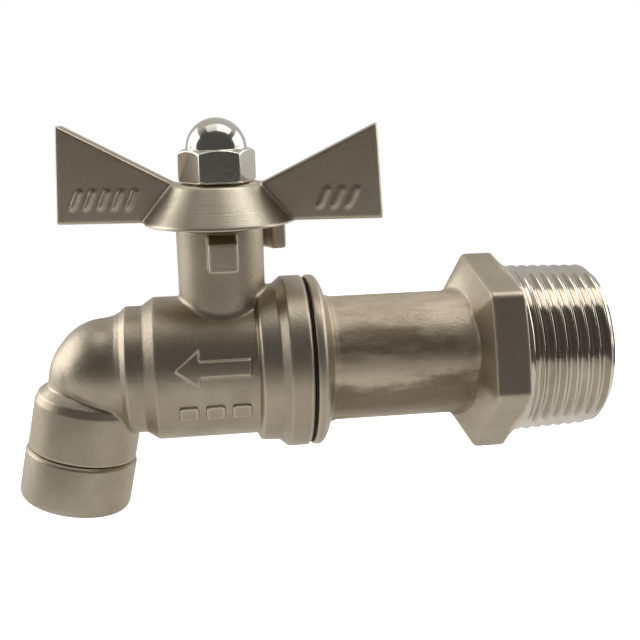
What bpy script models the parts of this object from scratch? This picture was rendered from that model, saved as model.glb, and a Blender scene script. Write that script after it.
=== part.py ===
"""Hose bib: quarter-turn ball tap with a butterfly handle and a 3/4 in male inlet.

Frame: origin at the centre of the inlet's end face, +X out of the inlet, +Z up the stem.
Most sizes below are given from the valve centre, where the stem axis crosses the bore.
"""
import math

import bmesh
import bpy
from mathutils import Matrix, Vector

MM = 0.001

# Driving dimensions (millimetres, from the valve centre unless said otherwise)
STEM_TO_INLET = 60.3        # valve centre to the inlet's end face
GAP = 0.3                   # assembly gap between neighbouring pieces
WELD = 0.000002             # metres: points closer than this are one point

HOUSING_R = 11.24           # barrel around the ball
SHOULDER_R = 12.4           # wider band before the flange
FLANGE_R = 13.67
FLANGE_FACE_X = 12.8
COLLAR_R = 10.0             # collar between barrel and elbow
CHAMBER_R = 8.8
SOCKET_R = 10.3             # body's female end, which takes the shank's spigot
SOCKET_X = 5.6

BEND_START_X = -18.4        # where the straight water way starts to turn down
BEND_R = 2.67               # centre-line radius of the elbow
SPOUT_LEAN = math.radians(12.1)
ELBOW_R_IN = 8.4            # outer radius where the elbow starts
ELBOW_R_OUT = 6.8           # outer radius where the elbow ends
WATERWAY_R = 5.2
SPOUT_R = 8.47
NIPPLE_R = 7.6
SEAM_L = 13.0               # distances L run down the spout axis from where it meets the bore axis
NIPPLE_END_L = 17.8

NOZZLE_R = 8.74
NOZZLE_END_L = 21.4
NOZZLE_BORE_R = 6.5

TOWER_R = 6.73              # boss around the stem
TOWER_TOP_Z = 22.4
STEM_BORE_R = 4.0
PACKING_BORE_R = 5.2
LUG_HALF_WIDTH = 2.2
LUG_REACH = 8.9
LUG_BOTTOM_Z = 16.3
LUG_FACE_TOP_Z = 20.6
LUG_TOP_Z = 21.6

NECK_R = 10.0
HEX_ACROSS_FLATS = 28.0
HEX_CORNER_R = 15.9         # rounded corners
HEX_TILT = math.radians(16.0)
HEX_LEFT_X = 39.85
HEX_RIGHT_X = 44.85
THREAD_START_X = 46.15
THREAD_PITCH = 25.4 / 14
THREAD_R_ROOT_END = 13.3    # crest radius beside the hexagon
THREAD_R_OPEN_END = 13.05   # crest radius at the inlet's mouth
THREAD_DEPTH = 1.16
INLET_BORE_R = 7.2
SEAT_BORE_R = 5.4

BALL_R = 8.0
BALL_PORT_R = 5.0
SLOT_WIDTH = 3.4
SLOT_FLOOR_Z = 6.2

STEM_R = 3.8
STEM_COLLAR_R = 5.4
STEM_SHOULDER_Z = 24.9
STEM_FLATS = 6.0            # across the two flats that turn the handle
STEM_THREAD_R = 2.9
STEM_TOP_Z = 34.5

HANDLE_CLOCKING = math.radians(-12.3)   # wings against the bore line when the tap is open
RIM_R = 11.46
RIM_Z = 22.85
HUB_TOP_R = 7.04
HUB_TOP_Z = 28.85
HUB_FLOOR_Z = 25.2
CAVITY_R = 8.7
WING_THICKNESS = 3.0
WING_BOTTOM_X = 25.3        # tips' lower and upper corners, outlet wing then inlet wing:
WING_BOTTOM_ZS = (22.82, 23.33)     # the casting's two wings are not quite a pair
WING_TOP_X = 24.4
WING_TOP_ZS = (37.95, 37.6)
TAB_BOTTOM_Z = 17.8
TAB_R_IN = 8.7
TAB_R_OUT = 11.2
STOP_CLEARANCE = math.radians(1.0)
LUG_HALF_ANGLE = math.asin(LUG_HALF_WIDTH / TAB_R_IN)

NUT_BOTTOM_Z = 29.1
NUT_ACROSS_FLATS = 10.4
NUT_SHOULDER_Z = 34.1
NUT_TOP_Z = 38.75
NUT_DOME_R = 4.65

FINE = 40                   # facets round a large turned shape
COARSE = 24                 # facets round a small one

VALVE_CENTRE = Vector((-STEM_TO_INLET, 0, 0)) * MM
BEND_ANGLE = math.pi / 2 - SPOUT_LEAN
SPOUT_ROOT_X = BEND_START_X - BEND_R * math.tan(BEND_ANGLE / 2)
SPOUT_ROOT = VALVE_CENTRE + Vector((SPOUT_ROOT_X, 0, 0)) * MM
BEND_END_L = BEND_R * math.tan(BEND_ANGLE / 2)

# Colour, roughness and metallic value of each material
MATERIALS = {
    "nickel_cast": ((0.52, 0.47, 0.40), 0.38, 1.0),
    "nickel_bright": ((0.72, 0.70, 0.66), 0.15, 1.0),
    "brass": ((0.72, 0.55, 0.28), 0.30, 1.0),
    "ptfe": ((0.90, 0.90, 0.87), 0.50, 0.0),
    "rubber": ((0.03, 0.03, 0.03), 0.70, 0.0),
    "fibre": ((0.05, 0.05, 0.05), 0.80, 0.0),
}


def new_collection(name):
    collection = bpy.data.collections.new(name)
    bpy.context.scene.collection.children.link(collection)
    return collection


def clear_scene():
    for obj in list(bpy.data.objects):
        bpy.data.objects.remove(obj, do_unlink=True)


clear_scene()
PARTS = new_collection("hose_bib")
CUTTERS = new_collection("hose_bib_cutters")


def material(name):
    if name in bpy.data.materials:
        return bpy.data.materials[name]
    colour, roughness, metallic = MATERIALS[name]
    made = bpy.data.materials.new(name)
    made.use_nodes = True
    shader = made.node_tree.nodes["Principled BSDF"]
    shader.inputs["Base Color"].default_value = (*colour, 1.0)
    shader.inputs["Roughness"].default_value = roughness
    shader.inputs["Metallic"].default_value = metallic
    return made


def add_object(name, bm, origin=VALVE_CENTRE, turn=None, slot=None):
    """Put a bmesh, given in millimetres about its own origin, into the scene."""
    bmesh.ops.scale(bm, vec=(MM, MM, MM), verts=bm.verts)
    if turn is not None:
        bmesh.ops.transform(bm, matrix=turn, verts=bm.verts)
    bmesh.ops.recalc_face_normals(bm, faces=bm.faces)
    mesh = bpy.data.meshes.new(name)
    bm.to_mesh(mesh)
    bm.free()
    mesh.shade_smooth()
    mesh.set_sharp_from_angle(angle=math.radians(30))
    obj = bpy.data.objects.new(name, mesh)
    obj.location = origin
    if slot is None:
        CUTTERS.objects.link(obj)
        obj.hide_render = True
        obj.display_type = "WIRE"
    else:
        PARTS.objects.link(obj)
        mesh.materials.append(material(slot))
    return obj


ALONG_X = Matrix.Rotation(math.pi / 2, 4, "Y")
DOWN_SPOUT = Matrix.Rotation(SPOUT_LEAN, 4, "Y")


def turned(name, outline, steps=FINE, **placing):
    """Solid of revolution about local Z. The outline's (radius, height) points run down
    the outer side; one that leaves the axis closes back to its start, as a ring."""
    mesh = bpy.data.meshes.new(name)
    bm = bmesh.new()
    points = [bm.verts.new((radius, 0, height)) for radius, height in outline]
    for first, second in zip(points, points[1:]):
        bm.edges.new((first, second))
    if outline[0][0] > 0:
        bm.edges.new((points[-1], points[0]))
    bm.to_mesh(mesh)
    bm.free()
    guide = bpy.data.objects.new(name + "_profile", mesh)
    bpy.context.scene.collection.objects.link(guide)
    screw = guide.modifiers.new("turn", "SCREW")
    screw.axis = "Z"
    screw.angle = 2 * math.pi
    screw.steps = steps
    screw.render_steps = steps
    screw.use_merge_vertices = True
    screw.merge_threshold = 0.0001
    depsgraph = bpy.context.evaluated_depsgraph_get()
    bm = bmesh.new()
    bm.from_object(guide, depsgraph)
    bpy.data.objects.remove(guide, do_unlink=True)
    bmesh.ops.remove_doubles(bm, verts=bm.verts, dist=0.0001)
    if "slot" not in placing:
        # a tool's facets stay out of line with those of the piece that it works on
        off_line = Matrix.Rotation(0.3 * 2 * math.pi / steps, 4, "Z")
        bmesh.ops.transform(bm, matrix=off_line, verts=bm.verts)
    return add_object(name, bm, **placing)


def cylinder(name, radius, low, high, steps=COARSE, **placing):
    return turned(name, [(0, high), (radius, high), (radius, low), (0, low)], steps, **placing)


def ring(name, inner, outer, low, high, steps=COARSE, **placing):
    outline = [(outer, high), (outer, low), (inner, low), (inner, high)]
    return turned(name, outline, steps, **placing)


def box(name, low, high, **placing):
    bm = bmesh.new()
    bmesh.ops.create_cube(bm, size=1.0)
    size = Vector(high) - Vector(low)
    middle = (Vector(high) + Vector(low)) / 2
    bmesh.ops.scale(bm, vec=size, verts=bm.verts)
    bmesh.ops.translate(bm, vec=middle, verts=bm.verts)
    return add_object(name, bm, **placing)


def loft(name, rings, **placing):
    """Closed solid through rings that have the same number of points, capped at both ends."""
    bm = bmesh.new()
    rows = [[bm.verts.new(point) for point in points] for points in rings]
    for row, following in zip(rows, rows[1:]):
        for i in range(len(row)):
            j = (i + 1) % len(row)
            bm.faces.new((row[i], row[j], following[j], following[i]))
    bm.faces.new(rows[0])
    bm.faces.new(reversed(rows[-1]))
    bmesh.ops.remove_doubles(bm, verts=bm.verts, dist=0.001)
    bmesh.ops.dissolve_degenerate(bm, edges=bm.edges, dist=0.001)
    return add_object(name, bm, **placing)


def boolean(target, other, operation, solver="EXACT"):
    """Apply one Boolean to the target's mesh, and weld the slivers that it leaves. The
    threaded stud needs the MANIFOLD solver, because EXACT loses the shank on some runs."""
    modifier = target.modifiers.new(other.name, "BOOLEAN")
    modifier.operation = operation
    modifier.solver = solver
    modifier.object = other
    bm = bmesh.new()
    bm.from_object(target, bpy.context.evaluated_depsgraph_get())
    target.modifiers.clear()
    bmesh.ops.remove_doubles(bm, verts=bm.verts, dist=WELD)
    bmesh.ops.dissolve_degenerate(bm, edges=bm.edges, dist=WELD)
    bm.to_mesh(target.data)
    bm.free()
    target.data.set_sharp_from_angle(angle=math.radians(30))


def cut(target, *cutters):
    for cutter in cutters:
        boolean(target, cutter, "DIFFERENCE")


def join(target, *pieces):
    for piece in pieces:
        boolean(target, piece, "UNION")


def bevel(obj, width, segments=2):
    modifier = obj.modifiers.new("edges", "BEVEL")
    modifier.width = width * MM
    modifier.segments = segments
    modifier.limit_method = "ANGLE"
    modifier.angle_limit = math.radians(25)


def elbow(name, radius_in, radius_out, start_x, end_l, steps=FINE, bends=8):
    """Water way's bend: a straight run, a turn about a pivot under it, a run down the spout.
    Where the tube is fatter than its bend, its inner side meets in a mitred crease."""
    pivot = Vector((BEND_START_X, 0, -BEND_R))
    mitre = BEND_ANGLE / 2
    middle_radius = (radius_in + radius_out) / 2

    def outward(angle):
        return Vector((-math.sin(angle), 0, math.cos(angle)))

    def section(angle, radius, shift):
        points = []
        along = Vector((-math.cos(angle), 0, -math.sin(angle)))
        for k in range(steps):
            around = 2 * math.pi * k / steps
            reach = BEND_R + radius * math.cos(around)
            if shift == 0 and reach < 0:
                inner_reach = BEND_R + middle_radius * math.cos(around)
                points.append(pivot + outward(mitre) * (min(inner_reach, 0) / math.cos(mitre))
                              + Vector((0, middle_radius * math.sin(around), 0)))
            else:
                points.append(pivot + outward(angle) * reach + along * shift
                              + Vector((0, radius * math.sin(around), 0)))
        return points

    rings = [section(0, radius_in, BEND_START_X - start_x)]
    for k in range(bends + 1):
        share = k / bends
        rings.append(section(share * BEND_ANGLE, radius_in + (radius_out - radius_in) * share, 0))
    rings.append(section(BEND_ANGLE, radius_out, end_l - BEND_END_L))
    return loft(name, rings)


def housing():
    outline = [
        (0, FLANGE_FACE_X), (FLANGE_R - 0.3, FLANGE_FACE_X), (FLANGE_R, FLANGE_FACE_X - 0.3),
        (FLANGE_R, 9.3), (SHOULDER_R + 0.15, 8.0), (SHOULDER_R, 5.2), (SHOULDER_R - 0.4, 4.9),
        (HOUSING_R, 4.6), (HOUSING_R, -10.9), (COLLAR_R + 0.15, -12.5), (COLLAR_R, -12.8),
        (COLLAR_R, -15.6), (9.2, -16.6), (8.3, -18.0), (0, -18.0),
    ]
    return turned("valve_body", outline, turn=ALONG_X, slot="nickel_cast")


def stop_lug(name, side):
    """Cast lug on the tower: a block whose top slopes back up to the tower."""
    inner = TOWER_R - 1.5
    outline = [(inner, LUG_BOTTOM_Z), (LUG_REACH, LUG_BOTTOM_Z), (LUG_REACH, LUG_FACE_TOP_Z),
               (TOWER_R + 0.2, LUG_TOP_Z), (inner, LUG_TOP_Z)]
    rings = [[Vector((x, side * y, z)) for y, z in outline] for x in (-LUG_HALF_WIDTH, LUG_HALF_WIDTH)]
    lug = loft(name, rings)
    bevel(lug, 0.45, 1)
    return lug


def spout_band():
    outline = [(0, -2.5), (6.4, -2.5), (7.3, -3.3), (8.1, -4.1), (SPOUT_R, -5.3), (SPOUT_R, -(SEAM_L - 0.15)),
               (NIPPLE_R, -(SEAM_L - 0.15)), (NIPPLE_R, -NIPPLE_END_L), (0, -NIPPLE_END_L)]
    return turned("spout_band", outline, origin=SPOUT_ROOT, turn=DOWN_SPOUT)


def valve_body():
    body = housing()
    join(body, cylinder("tower", TOWER_R, 4.0, TOWER_TOP_Z, FINE))
    join(body, stop_lug("lug_front", -1), stop_lug("lug_back", 1))
    join(body, elbow("elbow_skin", ELBOW_R_IN, ELBOW_R_OUT, -14.0, 4.8), spout_band())
    chamber = [(0, 14.0), (SOCKET_R, 14.0), (SOCKET_R, SOCKET_X), (CHAMBER_R, SOCKET_X),
               (CHAMBER_R, -8.5), (0, -8.5)]
    stem_way = [(0, 23.0), (PACKING_BORE_R, 23.0), (PACKING_BORE_R, 16.4), (STEM_BORE_R, 16.4),
                (STEM_BORE_R, 12.0), (STEM_COLLAR_R + GAP, 12.0), (STEM_COLLAR_R + GAP, 6.0), (0, 6.0)]
    spout_bore = cylinder("spout_bore", WATERWAY_R + 0.8, -19.0, -10.0, origin=SPOUT_ROOT, turn=DOWN_SPOUT)
    cut(body, turned("chamber", chamber, turn=ALONG_X), turned("stem_way", stem_way, COARSE))
    cut(body, elbow("water_way", WATERWAY_R, WATERWAY_R, -8.0, 12.0, COARSE), spout_bore)


def outlet_nozzle():
    top = -(SEAM_L + 0.15)
    inner_step = -(NIPPLE_END_L + 1.1)
    outline = [(SPOUT_R, top), (NOZZLE_R, top - 0.3), (NOZZLE_R, 0.9 - NOZZLE_END_L),
               (NOZZLE_R - 0.25, 0.3 - NOZZLE_END_L), (NOZZLE_R - 0.8, -NOZZLE_END_L),
               (NOZZLE_BORE_R, -NOZZLE_END_L), (NOZZLE_BORE_R, inner_step),
               (NIPPLE_R + GAP, inner_step), (NIPPLE_R + GAP, top)]
    turned("outlet_nozzle", outline, origin=SPOUT_ROOT, turn=DOWN_SPOUT, slot="nickel_cast")
    ring("nozzle_washer", NOZZLE_BORE_R + 0.1, NIPPLE_R, inner_step + 0.3, 0.5 + inner_step + 0.3,
         origin=SPOUT_ROOT, turn=DOWN_SPOUT, slot="rubber")


def hexagon(across_flats, height, spin=0.0):
    """Six corners at one height; a face normal points along spin from +X."""
    reach = across_flats / math.sqrt(3)
    angles = [spin + math.radians(30 + 60 * k) for k in range(6)]
    return [Vector((reach * math.cos(a), reach * math.sin(a), height)) for a in angles]


def double_d(radius, across, height, steps=COARSE):
    """Circle with two flats, square to Y."""
    angles = [2 * math.pi * k / steps for k in range(steps)]
    half = across / 2
    return [Vector((radius * math.cos(a), min(max(radius * math.sin(a), -half), half), height))
            for a in angles]


def helical_rod(name, low, high, facets=32, **placing):
    """Rod with a V thread. Each row of points follows the helix, so that the last column
    of facets joins the first one a whole turn further on."""
    profile = ((0.0, 0.0), (0.14, 0.0), (0.5, 1.0), (0.64, 1.0))
    turns = int((high - low) / THREAD_PITCH)
    bm = bmesh.new()
    columns = []
    for k in range(facets):
        angle = 2 * math.pi * k / facets
        column = []
        for turn in range(turns):
            for phase, depth in profile:
                x = low + (turn + phase + k / facets) * THREAD_PITCH
                share = (x - THREAD_START_X) / (STEM_TO_INLET - THREAD_START_X)
                crest = THREAD_R_ROOT_END + (THREAD_R_OPEN_END - THREAD_R_ROOT_END) * share
                run_out = min(max((x - THREAD_START_X - 0.2) / THREAD_PITCH, 0), 1)
                radius = crest - THREAD_DEPTH * depth * run_out
                column.append(bm.verts.new((radius * math.cos(angle), radius * math.sin(angle), x)))
        columns.append(column)
    rows = len(columns[0])
    lead = len(profile)
    for k in range(facets):
        shift = lead if k == facets - 1 else 0
        near = columns[k]
        far = columns[(k + 1) % facets]
        for row in range(rows - 1 - shift):
            bm.faces.new((near[row], near[row + 1], far[row + 1 + shift], far[row + shift]))
    start_rim = [column[0] for column in columns] + columns[0][lead:0:-1]
    end_rim = [column[-1] for column in columns] + columns[-1][-2:-lead - 2:-1]
    for rim, x in ((start_rim, low - THREAD_PITCH), (end_rim, high + 2 * THREAD_PITCH)):
        hub = bm.verts.new((0, 0, x))
        for i in range(len(rim)):
            bm.faces.new((rim[i], rim[(i + 1) % len(rim)], hub))
    return add_object(name, bm, **placing)


def threaded_stud():
    """Male thread, plain beside the hexagon and chamfered at its open end."""
    stud = helical_rod("inlet_thread", THREAD_START_X - 1.5 * THREAD_PITCH, STEM_TO_INLET + 2 * THREAD_PITCH,
                       turn=ALONG_X)
    envelope = [(0, STEM_TO_INLET), (12.1, STEM_TO_INLET), (THREAD_R_ROOT_END + 0.2, STEM_TO_INLET - 1.4),
                (THREAD_R_ROOT_END + 0.2, THREAD_START_X - 1.6), (0, THREAD_START_X - 1.6)]
    boolean(stud, turned("thread_envelope", envelope, turn=ALONG_X), "INTERSECT")
    return stud


def shank_hexagon():
    """Cast hexagon. Its two ends are drafted: they stand further apart on the face turned
    along the tilt than at the mould's parting line, where they taper to neck and thread."""
    steps = 48
    start = math.radians(30)
    to_local = Matrix.Rotation(math.pi / 2 + math.pi - HEX_TILT, 4, "Z")

    def outline(radius_at, height_at):
        angles = [start + 2 * math.pi * k / steps for k in range(steps)]
        return [Vector((radius_at(a) * math.cos(a), radius_at(a) * math.sin(a), height_at(a)))
                for a in angles]

    def hex_radius(a):
        off_face = (a + math.pi / 6) % (math.pi / 3) - math.pi / 6
        return min(HEX_ACROSS_FLATS / 2 / math.cos(off_face), HEX_CORNER_R)

    def neck_oval(a):
        return 1 / math.hypot(math.cos(a) / 3.0, math.sin(a) / (NECK_R - 0.1))

    rings = [
        outline(neck_oval, lambda a: HEX_LEFT_X - 3.55),
        outline(hex_radius, lambda a: HEX_LEFT_X + 0.45 * math.cos(a) ** 2),
        outline(hex_radius, lambda a: HEX_RIGHT_X + 0.85 * math.cos(a) ** 2),
        outline(lambda a: THREAD_R_ROOT_END + 0.1, lambda a: THREAD_START_X),
    ]
    return loft("shank_hexagon", rings, turn=ALONG_X @ to_local)


def inlet_shank():
    face = FLANGE_FACE_X + 0.45
    outline = [(0, HEX_RIGHT_X), (NECK_R, HEX_RIGHT_X), (NECK_R, 16.4), (NECK_R + 0.4, 16.0),
               (NECK_R + 0.75, 15.8), (11.9, 15.4), (13.0, 14.65), (13.55, 13.9), (FLANGE_R, face + 0.1),
               (FLANGE_R - 0.1, face), (SOCKET_R - GAP, face), (SOCKET_R - GAP, SOCKET_X + GAP),
               (0, SOCKET_X + GAP)]
    shank = turned("inlet_shank", outline, turn=ALONG_X, slot="nickel_cast")
    bore = [(0, STEM_TO_INLET + 1.5), (INLET_BORE_R + 0.6, STEM_TO_INLET + 1.5),
            (INLET_BORE_R + 0.6, STEM_TO_INLET), (INLET_BORE_R, STEM_TO_INLET - 0.6),
            (INLET_BORE_R, 12.5), (SEAT_BORE_R, 11.0), (SEAT_BORE_R, 8.5), (CHAMBER_R, 8.5),
            (CHAMBER_R, 5.0), (0, 5.0)]
    join(shank, shank_hexagon())
    boolean(shank, threaded_stud(), "UNION", "MANIFOLD")
    cut(shank, turned("inlet_bore", bore, turn=ALONG_X))
    ring("body_joint_gasket", SOCKET_R + GAP, FLANGE_R - 0.7, FLANGE_FACE_X + 0.1, face - 0.1, FINE,
         turn=ALONG_X, slot="fibre")


def ball():
    arc = [math.pi * k / 14 for k in range(15)]
    outline = [(BALL_R * math.sin(a), BALL_R * math.cos(a)) for a in arc]
    outline[0] = (0, BALL_R)
    outline[-1] = (0, -BALL_R)
    sphere = turned("ball", outline, 28, slot="nickel_bright")
    port = cylinder("ball_port", BALL_PORT_R, -2 * BALL_R, 2 * BALL_R, turn=ALONG_X)
    half = SLOT_WIDTH / 2
    slot = box("ball_slot", (-half, -BALL_R, SLOT_FLOOR_Z), (half, BALL_R, BALL_R + 1))
    cut(sphere, port, slot)


def seat_rings():
    """PTFE rings whose spherical faces follow the ball a gap away."""
    face_r = BALL_R + GAP
    outer = CHAMBER_R - GAP
    back = 8.2
    lip = 7.2
    reaches = [lip + (SEAT_BORE_R - lip) * k / 5 for k in range(6)]
    face = [(reach, math.sqrt(face_r ** 2 - reach ** 2)) for reach in reaches]
    outline = [(outer, back), (outer, face[0][1])] + face + [(SEAT_BORE_R, back)]
    turned("inlet_seat_ring", outline, COARSE, turn=ALONG_X, slot="ptfe")
    mirrored = [(radius, -height) for radius, height in reversed(outline)]
    turned("outlet_seat_ring", mirrored, COARSE, turn=ALONG_X, slot="ptfe")


def stem():
    groove_r = 2.75
    outline = [(0, STEM_TOP_Z), (STEM_THREAD_R - 0.5, STEM_TOP_Z), (STEM_THREAD_R, STEM_TOP_Z - 0.5),
               (STEM_THREAD_R, STEM_SHOULDER_Z - 0.4), (STEM_R, STEM_SHOULDER_Z - 0.4),
               (STEM_R, 14.8), (groove_r, 14.8), (groove_r, 13.2), (STEM_R, 13.2), (STEM_R, 10.6),
               (STEM_COLLAR_R, 10.6), (STEM_COLLAR_R, 9.0), (0, 9.0)]
    post = turned("stem", outline, COARSE, slot="brass")
    tang_half = SLOT_WIDTH / 2 - GAP
    tang_reach = 3.6            # its corners pass clear of the seat rings as it turns
    tang = box("stem_tang", (-tang_half, -tang_reach, SLOT_FLOOR_Z + GAP), (tang_half, tang_reach, 9.5))
    clocking = Matrix.Rotation(HANDLE_CLOCKING, 4, "Z")
    flats = loft("stem_flats", [double_d(STEM_R - 0.01, STEM_FLATS, z) for z in (STEM_SHOULDER_Z - 0.8, 27.6)],
                 turn=clocking)
    join(post, tang, flats)


def stem_seals():
    inner = STEM_R + 0.2
    outer = PACKING_BORE_R - 0.2
    ring("stem_thrust_washer", inner, STEM_COLLAR_R, 10.9, 11.7, slot="ptfe")
    section = 0.475
    centre_r = 3.425
    angles = [2 * math.pi * k / 8 for k in range(8)]
    circle = [(centre_r + section * math.cos(a), 14.0 - section * math.sin(a)) for a in angles]
    turned("stem_oring", circle, COARSE, slot="rubber")
    ring("packing_ring_lower", inner, outer, 16.7, 18.0, slot="ptfe")
    ring("packing_ring_upper", inner, outer, 18.3, 19.6, slot="ptfe")
    ring("gland_ring", inner, outer, 19.9, 20.9, slot="brass")


def gland_nut():
    head = [hexagon(11.0, z) for z in (TOWER_TOP_Z + GAP, 24.5)]
    nut = loft("gland_nut", head, slot="brass")
    bevel(nut, 0.2, 1)
    join(nut, cylinder("gland_nut_thread", PACKING_BORE_R - 0.2, 21.2, TOWER_TOP_Z + 0.6))
    cut(nut, cylinder("gland_nut_bore", STEM_R + 0.25, 20.0, 26.0))


def stop_tab():
    """Arc-shaped skirt under the rim, which swings between the two lugs."""
    start = LUG_HALF_ANGLE + STOP_CLEARANCE
    end = math.pi / 2 - LUG_HALF_ANGLE - STOP_CLEARANCE
    steps = 8
    corners = ((TAB_R_IN + 0.05, TAB_BOTTOM_Z), (TAB_R_OUT, TAB_BOTTOM_Z), (TAB_R_OUT, RIM_Z + 0.6),
               (TAB_R_IN + 0.05, RIM_Z + 0.6))
    rings = []
    for k in range(steps + 1):
        angle = start + (end - start) * k / steps
        rings.append([Vector((radius * math.cos(angle), radius * math.sin(angle), z))
                      for radius, z in corners])
    tab = loft("stop_tab", rings)
    bevel(tab, 0.3, 1)
    return tab


def wings(clocking):
    outline = [(WING_BOTTOM_X, WING_BOTTOM_ZS[1]), (WING_TOP_X, WING_TOP_ZS[1]),
               (HUB_TOP_R - 0.6, HUB_TOP_Z - 0.1), (0.6 - HUB_TOP_R, HUB_TOP_Z - 0.1),
               (-WING_TOP_X, WING_TOP_ZS[0]), (-WING_BOTTOM_X, WING_BOTTOM_ZS[0])]
    half = WING_THICKNESS / 2
    rings = [[Vector((x, y, z)) for x, z in outline] for y in (-half, half)]
    plate = loft("handle_wings", rings, turn=clocking)
    bevel(plate, 0.5, 2)
    return plate


def butterfly_handle():
    clocking = Matrix.Rotation(HANDLE_CLOCKING, 4, "Z")
    cone = [(0, HUB_TOP_Z), (HUB_TOP_R - 0.3, HUB_TOP_Z), (HUB_TOP_R, HUB_TOP_Z - 0.2),
            (RIM_R, RIM_Z + 0.35), (RIM_R, RIM_Z + 0.1), (RIM_R - 0.1, RIM_Z), (0, RIM_Z)]
    handle = turned("butterfly_handle", cone, slot="nickel_cast")
    cavity = [(0, HUB_FLOOR_Z), (7.2, HUB_FLOOR_Z), (CAVITY_R, 24.0), (CAVITY_R, 21.0), (0, 21.0)]
    join(handle, wings(clocking))
    cut(handle, turned("hub_cavity", cavity, COARSE))
    join(handle, stop_tab())
    hole = loft("hub_hole", [double_d(STEM_R + 0.15, STEM_FLATS + 0.3, z) for z in (24.0, 28.4)],
                turn=clocking)
    cut(handle, hole, cylinder("washer_recess", 4.9, 27.9, 30.0))


def nut_lock_washer():
    ring("nut_lock_washer", STEM_THREAD_R + 0.3, 4.6, 28.2, HUB_TOP_Z, slot="brass")


def acorn_nut():
    nut = loft("acorn_nut", [hexagon(NUT_ACROSS_FLATS, z, math.pi / 2) for z in (NUT_BOTTOM_Z, NUT_SHOULDER_Z)],
               slot="nickel_bright")
    corner_r = NUT_ACROSS_FLATS / math.sqrt(3)
    envelope = [(0, NUT_SHOULDER_Z), (corner_r - 0.9, NUT_SHOULDER_Z), (corner_r + 0.1, NUT_SHOULDER_Z - 0.6),
                (corner_r + 0.1, NUT_BOTTOM_Z + 0.35), (corner_r - 0.4, NUT_BOTTOM_Z), (0, NUT_BOTTOM_Z)]
    boolean(nut, turned("nut_envelope", envelope, COARSE), "INTERSECT")
    angles = [math.pi / 2 * k / 8 for k in range(9)]
    height = NUT_TOP_Z - NUT_SHOULDER_Z
    dome = [(NUT_DOME_R * math.sin(a), NUT_SHOULDER_Z + height * math.cos(a)) for a in angles]
    dome[0] = (0, NUT_TOP_Z)
    join(nut, turned("nut_dome", dome + [(NUT_DOME_R, NUT_SHOULDER_Z - 1), (0, NUT_SHOULDER_Z - 1)], COARSE))
    bore = [(0, 36.6), (STEM_THREAD_R + 0.2, 35.0), (STEM_THREAD_R + 0.2, 28.0), (0, 28.0)]
    cut(nut, turned("nut_bore", bore, COARSE))


valve_body()
outlet_nozzle()
inlet_shank()
ball()
seat_rings()
stem()
stem_seals()
gland_nut()
butterfly_handle()
nut_lock_washer()
acorn_nut()
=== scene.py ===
"""Looks of the hose bib: fine skins over the CAD frame, finishes, studio and camera.

Shapes are written in millimetres from the valve centre, where the stem axis crosses the bore.
The cast pieces are signed-distance fields, meshed on a grid, so that every edge and every
junction has the small round that a casting has. The turned pieces are lathe outlines.
"""
import math

import bmesh
import bpy
import numpy as np
from mathutils import Matrix, Vector


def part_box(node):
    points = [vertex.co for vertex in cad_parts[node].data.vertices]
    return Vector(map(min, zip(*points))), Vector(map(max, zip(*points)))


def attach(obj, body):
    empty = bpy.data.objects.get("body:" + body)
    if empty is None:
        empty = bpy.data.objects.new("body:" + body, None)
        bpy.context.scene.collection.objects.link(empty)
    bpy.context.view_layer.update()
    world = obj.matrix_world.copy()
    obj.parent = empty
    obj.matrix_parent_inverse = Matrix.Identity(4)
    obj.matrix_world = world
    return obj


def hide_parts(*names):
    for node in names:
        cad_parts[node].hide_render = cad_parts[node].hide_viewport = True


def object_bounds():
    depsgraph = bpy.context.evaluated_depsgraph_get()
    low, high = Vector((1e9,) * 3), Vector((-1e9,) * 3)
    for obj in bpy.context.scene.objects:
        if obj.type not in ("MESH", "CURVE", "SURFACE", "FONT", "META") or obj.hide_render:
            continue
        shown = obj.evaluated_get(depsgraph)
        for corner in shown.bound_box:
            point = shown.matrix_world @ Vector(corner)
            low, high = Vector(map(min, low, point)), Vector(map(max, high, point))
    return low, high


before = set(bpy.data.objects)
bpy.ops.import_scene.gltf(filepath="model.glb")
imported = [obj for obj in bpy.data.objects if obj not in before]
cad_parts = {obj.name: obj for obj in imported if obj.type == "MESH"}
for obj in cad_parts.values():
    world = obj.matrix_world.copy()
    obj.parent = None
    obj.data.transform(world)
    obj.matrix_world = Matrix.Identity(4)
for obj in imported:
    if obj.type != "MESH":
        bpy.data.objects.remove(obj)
CAD_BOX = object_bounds()

MM = 0.001
BALL_LOW, BALL_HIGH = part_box("ball")
CENTRE = Vector(((BALL_LOW[0] + BALL_HIGH[0]) / 2, 0.0, 0.0))
STEM_TO_INLET = -CENTRE.x / MM

# Sizes that several pieces share, in millimetres
HOUSING_R = 11.24
SHOULDER_R = 12.4
FLANGE_R = 13.67
FLANGE_FACE_X = 12.8
JOINT_RIGHT_X = 13.2
COLLAR_R = 10.0
TOWER_R = 6.73
TOWER_TOP_Z = 22.4
BEND_START_X = -18.4
BEND_R = 2.67
SPOUT_LEAN = math.radians(12.1)
BEND_ANGLE = math.pi / 2 - SPOUT_LEAN
SPOUT_ROOT_X = BEND_START_X - BEND_R * math.tan(BEND_ANGLE / 2)
SPOUT_R = 8.47
NIPPLE_R = 7.6
SEAM_L = 13.0
NIPPLE_END_L = 17.8
NOZZLE_R = 8.74
NOZZLE_END_L = 21.4
HEX_HALF = 14.0
HEX_CORNER_R = 15.9
HEX_TILT = math.radians(16.0)
NECK_R = 10.0
NECK_START_X = 16.2
THREAD_START_X = 46.0
THREAD_CREST_R = 13.65
THREAD_PITCH = 25.4 / 14
CLOCKING = math.radians(-12.3)
BELOW_AXIS = -6.0           # an outline is carried past the axis, which is no edge of it
WATER_WAY_R = 5.2
INLET_BORE_R = 7.2


# ---------------------------------------------------------------- distance fields

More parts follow.
